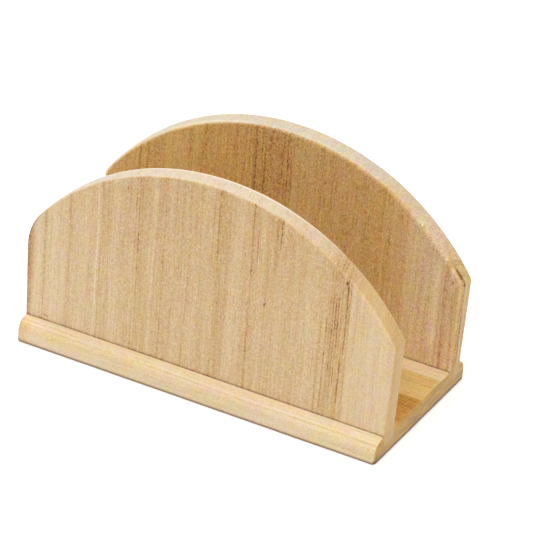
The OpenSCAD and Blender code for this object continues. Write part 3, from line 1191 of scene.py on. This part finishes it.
# %% Dirt in joints, painted shade in creases and grooves
# Apart from the seam's, these fades place painted shade: in the crease, at the foot of a panel's narrow
# sides, along the lowest edge of the base and in the grooves.
SEAM_FADE = (0.1, 0.4)
CREASE_FADE = (0.1, 0.9)
SIDE_FOOT_SHADE_FADE = (-1, 6)
FOOT_FADE = (0.8, 1.8)
GROOVE_FADE = (1, 2)
ON_FACE = (0.6, 0.9)
ON_END = (0.8, 0.97)
NOT_DOWNWARDS = (-0.99, -0.9)
UPWARDS = (0.5, 0.9)
RAGGED_SHARE = 0.5


def fading(tree, place, start, fade, full, edge="LINEAR"):
    """full as far as the first distance past start, and nothing from the second on."""
    return ramp(tree, place, start + fade[0], start + fade[1], full, 0.0, edge)


def dirt_in_joints(tree, across, stave):
    total = 0.0
    for seam in stave["seams"]:
        away = maths(tree, "ABSOLUTE", maths(tree, "SUBTRACT", across, seam))
        total = maths(tree, "ADD", total, ramp(tree, away, *SEAM_FADE, LOOK["seam"], 0.0))
    return total


def painted_shade_on_panel(tree, along, facing, rag, crease_shade):
    """Painted shade where the panel meets the base, and on its narrow sides just above."""
    face = ramp(tree, maths(tree, "ABSOLUTE", facing[1]), *ON_FACE, 0.0, 1.0)
    darkening = maths(tree, "MULTIPLY", fading(tree, along, crease_shade, CREASE_FADE, LOOK["crease_shade"]), face)
    total = maths(tree, "MULTIPLY", darkening, plus(tree, rag, RAGGED_SHARE, 1.0))
    stain = fading(tree, along, crease_shade, SIDE_FOOT_SHADE_FADE, LOOK["end_stain"], "SMOOTHSTEP")
    side = ramp(tree, maths(tree, "ABSOLUTE", facing[0]), *ON_END, 0.0, 1.0)
    return plus(tree, stain, side, total)


print("Crease dirt fades out over", CREASE_FADE[1] - CREASE_FADE[0], "mm")

# %% Painted shade under the base's edge and in its grooves
# A painted contact shadow along the lowest edge of the base, reaching higher on its ends, and painted
# shade on the floor of the grooves.
def painted_shade_on_base(tree, through, facing, stave):
    on_end = maths(tree, "ABSOLUTE", facing[2])
    height = plus(tree, on_end, -stave["end_foot"], through)
    not_under = ramp(tree, facing[1], *NOT_DOWNWARDS, 0.0, 1.0)
    foot = fading(tree, height, stave["foot"], FOOT_FADE, LOOK["foot"])
    total = maths(tree, "MULTIPLY", foot, not_under)
    upwards = ramp(tree, facing[1], *UPWARDS, 0.0, 1.0)
    return plus(tree, fading(tree, through, FOOT_Z, GROOVE_FADE, LOOK["groove"]), upwards, total)


def dirt_and_painted_shade(tree, spot, facing, rag, stave):
    """Share of darkening at a place: the dark of the joints, and painted shade in creases, grooves and
    under the base.
    """
    across, through, along = spot
    total = dirt_in_joints(tree, across, stave)
    if "crease_shade" in stave:
        on_panel = painted_shade_on_panel(tree, along, facing, rag, stave["crease_shade"])
        total = maths(tree, "ADD", total, on_panel)
    if "foot" in stave:
        total = maths(tree, "ADD", total, painted_shade_on_base(tree, through, facing, stave))
    return total


print("Groove dirt starts", GROOVE_FADE[1], "mm above the groove's floor")

# %% [markdown]
# ### All of it together
# The layers go on in this order: the wood of the tree, the saw cuts that show its end grain, the pale
# corners, which are partly sanding and partly a painted highlight, the dirt and painted shade, and last
# the faint patches of pink and straw that lie over everything. The same fibres and pores that darken the
# wood also make it slightly uneven, as a bump, and a little rougher. Sheen stands for the fuzz that
# sanding leaves on soft wood.

# %% Colour of a stave
def wood_colour(tree, spot, facing, rings, fine, stave):
    through, along = spot[1:]
    place = {"Ring": rings["Ring"], "Through": through, "Along": along, "Seed": stave["seed"]}
    bands = use_group(tree, band_group, **place)["Bands"]
    tone, warmth, coarse = tone_and_warmth(tree, spot, facing, rings, fine, bands, stave)
    colour = use_group(tree, colour_group, Tone=tone, Warmth=warmth)["Colour"]
    square = cut_squarely(tree, facing, stave["end_grain"])
    cut_share = maths(tree, "MULTIPLY", square, stave["end_grain"]["share"])
    colour = mixed(tree, "MIX", cut_share, colour, chalk(tree, spot, rings, fine, stave))
    colour = wear_and_highlight_on_corners(tree, colour, spot, facing, square, stave)
    # Dirt in the joints, and painted shade in the crease, in the grooves and under the base.
    darkening = dirt_and_painted_shade(tree, spot, facing, rings["Rag"], stave)
    colour = mixed(tree, "MULTIPLY", darkening, colour, DIRT_AND_SHADE)
    blush = maths(tree, "MULTIPLY", coarse, stave["blush"])
    tint = use_group(tree, patch_group, Blush=blush, **place)["Tint"]
    return mixed(tree, "MULTIPLY", 1.0, colour, tint)


print("Layers: wood, end grain, sanded corners, dirt, patches")

# %% The whole material of a stave
FIBRE_HEIGHT = 0.3
BUMP_STRENGTH = 0.4
BUMP_MM = 0.12
ROUGHNESS = 0.62
FIBRE_ROUGHNESS = 0.06
FINISH = (("Specular IOR Level", 0.35), ("Sheen Weight", 0.35), ("Sheen Roughness", 0.4))


def wood_material(name, grain, stave):
    """grain says which of X, Y and Z runs across the rings, through the board and along it."""
    material = bpy.data.materials.new(name)
    tree = empty_tree(material)
    spot, facing = spaces(tree, grain)
    across, through, along = spot
    place = {"Through": through, "Along": along, "Seed": stave["seed"]}
    rings = use_group(tree, lie_group, Across=across, Lean=stave["lean"], **place)
    fine = use_group(tree, fibre_group, Ring=rings["Ring"], **place)
    fibre_height = maths(tree, "MULTIPLY", fine["Fibres"], FIBRE_HEIGHT)
    height = plus(tree, fine["Pores"], -1.0, fibre_height)
    bump = (("Height", height), ("Strength", BUMP_STRENGTH), ("Distance", BUMP_MM * MM))
    normal = add_node(tree, "ShaderNodeBump", bump).outputs[0]
    colour = wood_colour(tree, spot, facing, rings, fine, stave)
    roughness = plus(tree, fine["Fibres"], FIBRE_ROUGHNESS, ROUGHNESS)
    surface = (("Base Color", colour), ("Normal", normal), ("Roughness", roughness))
    finish = add_node(tree, "ShaderNodeBsdfPrincipled", surface + FINISH)
    add_node(tree, "ShaderNodeOutputMaterial", (("Surface", finish.outputs[0]),))
    return material


print("Bare wood has a roughness of about", ROUGHNESS)

# %% [markdown]
# ## The staves, one by one
# Here the boards get their own faces. A place is in millimetres from the middle of the
# holder, as it is seen on the face that looks towards the front. A positive depth is darker.
# tone is the stave's own darkness. side and tip are zones, and so is the zone of painted light and shade
# across the rings: each gives where the zone starts and where it is full, then how much darker and
# warmer it is. A rim colours a left sanded corner, with painted shade on the front panel and a painted
# highlight on the back panel, and reach says where along the board it starts and is full.

# %% Left half of the front panel
FRONT_WOOD = {
    "front_panel_left_stave": {
        "tone": 0.32, "warmth": 0.03,
        # This rim is painted shade along the stave's left corner.
        "rim": {"kind": "MULTIPLY", "colour": DIRT_AND_SHADE, "share": 0.95, "reach": (-82, -88)},
        "streaks": [
            band(-89.2, 3.4, 0.4), band(-84.5, 2.6, -0.06), line(-81.2, 0.16),
            band(-75.5, 4.5, -0.04), band(-69.0, 2.2, 0.08), band(-58.5, 2.2, 0.08),
            line(-55.0, -0.16), line(-53.3, 0.16),
        ],
        "marks": [mark(-78.8, 13.3, -17, 2.0, 0.35, 0.5)],
    },
    "front_panel_mid_left_stave": {
        "tone": 0.41, "warmth": 0.05,
        "streaks": [
            band(-44.5, 6.0, -0.09), line(-36.0, 0.12), line(-34.4, 0.14), band(-32.5, 4.5, 0.05),
            line(-27.0, -0.08, 0.9), line(-22.0, 0.18), line(-10.0, 0.1), line(3.2, 0.12),
            band(5.0, 4.5, 0.07),
        ],
        "marks": [mark(-41.0, 88.0, 90, 2.2, 0.3, 0.25)],
    },
}
print("Streaks:", {name: len(wood["streaks"]) for name, wood in FRONT_WOOD.items()})

# %% Right half of the front panel
FRONT_WOOD |= {
    "front_panel_mid_right_stave": {
        "tone": 0.41, "warmth": 0.08, "side": (0.5, 0.97, 0.05, 0.62),
        "streaks": [
            band(13.5, 4.5, -0.07), line(20.0, 0.16, 0.9), line(22.6, 0.36, 0.35, 72, 92),
            band(25.5, 2.0, -0.04), line(33.2, 0.4, 0.7, 80, 116, 0.3),
            band(31.4, 1.8, 0.14, 66, 112), band(48.0, 6.0, -0.07), band(61.5, 6.5, 0.08),
            line(54.2, 0.12, 0.7, -30, 60), line(56.9, 0.2, 0.5, -30, 62, 1.2),
            line(58.2, 0.14, 0.35, 40), line(59.4, 0.26, 0.45, 30, 90),
            line(60.6, 0.22, 0.4, 20, 76, 1.2), line(61.9, 0.3, 0.5, 24),
            line(63.2, 0.17, 0.4, 44), line(64.6, 0.22, 0.6, -30, 52, 1.3),
            line(65.6, 0.28, 0.7, 40, 84), line(66.8, 0.14, 0.4, 54),
        ],
        "marks": [mark(27.6, 54.6, 60, 1.1, 0.45, 0.6), mark(65.0, 77.2, 70, 1.5, 0.7, 0.4)],
    },
    "front_panel_right_stave": {
        "tone": 0.3, "warmth": 0.05, "coarse": 0.75, "blush": 1.5, "side": (0.3, 0.97, 0.17, 0.5),
        "streaks": [line(70.5, 0.1, 0.4), line(74.0, 0.06), band(79.0, 7.0, -0.04)],
    },
}
print("Streaks:", {name: len(wood["streaks"]) for name, wood in FRONT_WOOD.items()})

# %% The back panel
BACK_WOOD = {
    "back_panel_left_stave": {
        "tone": 0.475, "warmth": 0.6,
        # This rim is a painted highlight along the stave's left corners.
        "rim": {"kind": "MIX", "colour": HIGHLIGHT, "share": 0.45, "reach": (-300, -299)},
        "streaks": [
            line(-72.0, 0.16, 0.9), line(-68.0, 0.14, 0.9), band(-53.0, 9.0, -0.03),
            band(-38.0, 6.0, 0.05), band(-28.0, 2.5, 0.08), band(-22.0, 3.0, -0.04),
            band(-20.0, 9.0, 0.09), line(-18.0, -0.12, 0.9),
        ],
    },
    "back_panel_mid_left_stave": {
        "tone": 0.58, "warmth": 0.45,
        "streaks": [
            line(-14.0, 0.2, 0.6), band(-6.0, 9.0, 0.03), line(-9.5, 0.12), line(1.8, 0.18, 0.7),
        ],
    },
    "back_panel_mid_right_stave": {
        # The zone across the rings is painted light: paler and less orange towards the right end, where
        # more light reaches the back panel.
        "tone": 0.48, "warmth": 0.4, "painted_light_and_shade": (48.0, 62.0, -0.11, -0.36),
        "streaks": [
            line(16.0, 0.1), line(24.0, 0.08), band(30.0, 24.0, 0.02), line(41.5, 0.1),
            band(64.0, 12.0, -0.08), line(61.0, 0.1), band(77.5, 3.4, -0.2, 15, 66),
        ],
    },
    "back_panel_right_stave": {
        "tone": 0.41, "warmth": 0.1,
        # The end zone is painted light: the stave is paler towards its top.
        "side": (0.55, 0.97, 0.06, 0.52), "tip": (48.0, 66.0, -0.06, -0.1),
        "streaks": [
            band(82.3, 1.8, 0.12), band(84.6, 1.0, -0.08), band(86.6, 1.0, 0.08), line(88.2, 0.1),
        ],
        "marks": [mark(85.2, 54.6, 85, 1.4, 0.4, 0.5)],
        "side_streaks": [
            band(29.2, 2.2, 0.13, 4, 62), line(30.7, 0.3, 0.9, 8, 58, 0.6),
            band(32.6, 1.6, -0.12, 4, 62),
        ],
        "side_marks": [mark(29.8, 58.6, 98, 5.4, 1.2, 0.5), mark(30.2, 54.0, 0, 1.0, 0.9, 0.8)],
    },
}
print("Streaks:", {name: len(wood["streaks"]) for name, wood in BACK_WOOD.items()})

# %% What all staves of a panel share
BOARD_EDGE_MM = 1
# The front panel gets a painted highlight along the rear corner of its arch, and a painted shade that
# darkens it towards the crown.
PANEL_WOOD = {
    "front": {
        "lean": 0.25, "shade_towards_crown": 0.14, "coarse": 0.95, "blush": 0.9, "rear_highlight": PANEL_FACES["front"][1],
    },
    "back": {"lean": -0.3, "shade_towards_crown": 0.0, "coarse": 1.15, "blush": 1.5},
}


def glue_lines(low, high, half):
    """The edges of a stave that are glue lines, and not an edge of the whole board."""
    return [place for place in (low, high) if abs(place) < half - BOARD_EDGE_MM]


def dress(board, grain, woods, shared, sides):
    """Gives each stave its material. sides gives its two edges and half the board's size."""
    for i, (node, wood) in enumerate(woods.items()):
        own = {"seed": float(i + 1) + NOISE_ROWS[board], "end_grain": END_GRAIN[board]}
        stave = own | {"seams": glue_lines(*sides(node))} | shared | wood
        pieces[node].data.materials.append(wood_material(node + "_grain", grain, stave))
    print(board, "dressed:", len(woods), "staves")

# %% Dress the panels
def panel_sides(node):
    low, high = box_mm(node)
    return low.x, high.x, HALF_L


for board, woods in (("front", FRONT_WOOD), ("back", BACK_WOOD)):
    # The painted shade at a panel's foot starts at the top of the base.
    shared = {"face": PANEL_FACES[board][0], "crease_shade": BASE_T, "arch_wear_and_highlight": LOOK["arch_wear_and_highlight"]}
    dress(board, "XYZ", woods, shared | PANEL_WOOD[board], panel_sides)

# %% [markdown]
# ## The wood of the base
# The base was glued up from three odd staves, and it shows on the floor between the panels: the middle
# one is warmer than the back one. The front one turns dark and orange where the front panel shades the
# floor, which is painted shade. The fibres of the base run from end to end, so a streak's place here
# goes from front to back, and the tip of a stave is its left end.

# %% The base
BASE_WOOD = {
    "base_front_stave": {
        # The zone across the rings is painted shade: darker and more orange on the floor in the front
        # panel's shadow.
        "tone": 0.08, "tip": (-80.0, -90.0, 0.16, 0.3), "painted_light_and_shade": (-26.0, -17.0, 0.62, 1.0),
        "streaks": [
            band(-45.0, 4.0, 0.08), line(-43.0, 0.1), line(-41.2, 0.12), line(-39.0, 0.08),
            band(-34.0, 2.5, -0.1), line(-8.0, 0.12), line(-3.0, 0.1),
        ],
    },
    "base_middle_stave": {
        "tone": 0.34, "warmth": 0.58,
        "streaks": [band(-1.0, 9.0, 0.05), line(6.0, 0.1), line(11.0, 0.1, 0.8), line(16.5, 0.12)],
    },
    "base_back_stave": {
        "tone": 0.15, "warmth": 0.15,
        "streaks": [line(25.5, 0.08), line(30.0, 0.1), line(41.0, 0.1)],
    },
}
# foot and end_foot place the painted contact shadow along the lowest edge of the base.
BASE_SHARED = {
    "lean": 0.35, "face": BASE_T, "banding": 1.5, "blush": 1.7, "foot": 0.0, "end_foot": 1.1,
}


def base_sides(node):
    low, high = box_mm(node)
    return low.y, high.y, HALF_W


dress("base", "YZX", BASE_WOOD, BASE_SHARED, base_sides)

# %% [markdown]
# ## Screws
# The screws keep the shapes of the working model, because only their heads can be seen, from
# below. They are plain zinc-plated steel. Zinc is never quite clear: a fine cloudiness makes
# it a little duller and darker in one place than in another.

# %% Steel of the screws
CLOUDS_PER_METRE = 900.0
CLOUD_SPREAD = (0.3, 0.7)
STEEL_ROUGHNESS = (0.28, 0.5)

steel = bpy.data.materials.new("zinc_plated_steel")
steel.use_nodes = True
tree = steel.node_tree
finish = tree.nodes["Principled BSDF"]
finish.inputs["Metallic"].default_value = 1.0
spot = add_node(tree, "ShaderNodeTexCoord").outputs["Object"]
fields = (("Vector", spot), ("Scale", CLOUDS_PER_METRE), ("Detail", 3.0))
clouds = add_node(tree, "ShaderNodeTexNoise", fields).outputs[0]
feed(tree, finish.inputs["Roughness"], ramp(tree, clouds, *CLOUD_SPREAD, *STEEL_ROUGHNESS))
zinc = mixed(tree, "MIX", clouds, paint(176, 180, 184), paint(205, 205, 200))
feed(tree, finish.inputs["Base Color"], zinc)
for node in ("front_panel_screws", "back_panel_screws"):
    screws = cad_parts[node]
    if not screws.material_slots:
        screws.data.materials.append(steel)
    for slot in screws.material_slots:
        slot.material = steel
print("Screws finished in", steel.name)

# %% [markdown]
# ## Sizes at the end
# The boxes of the working model and of the finished wood are printed side by side. The wood
# must not be larger than the working model.

# %% Print the sizes
seen_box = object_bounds()
sizes = {"cad": [list(corner) for corner in cad_box], "visual": [list(corner) for corner in seen_box]}
print("Working model", sizes["cad"], "finished wood", sizes["visual"])
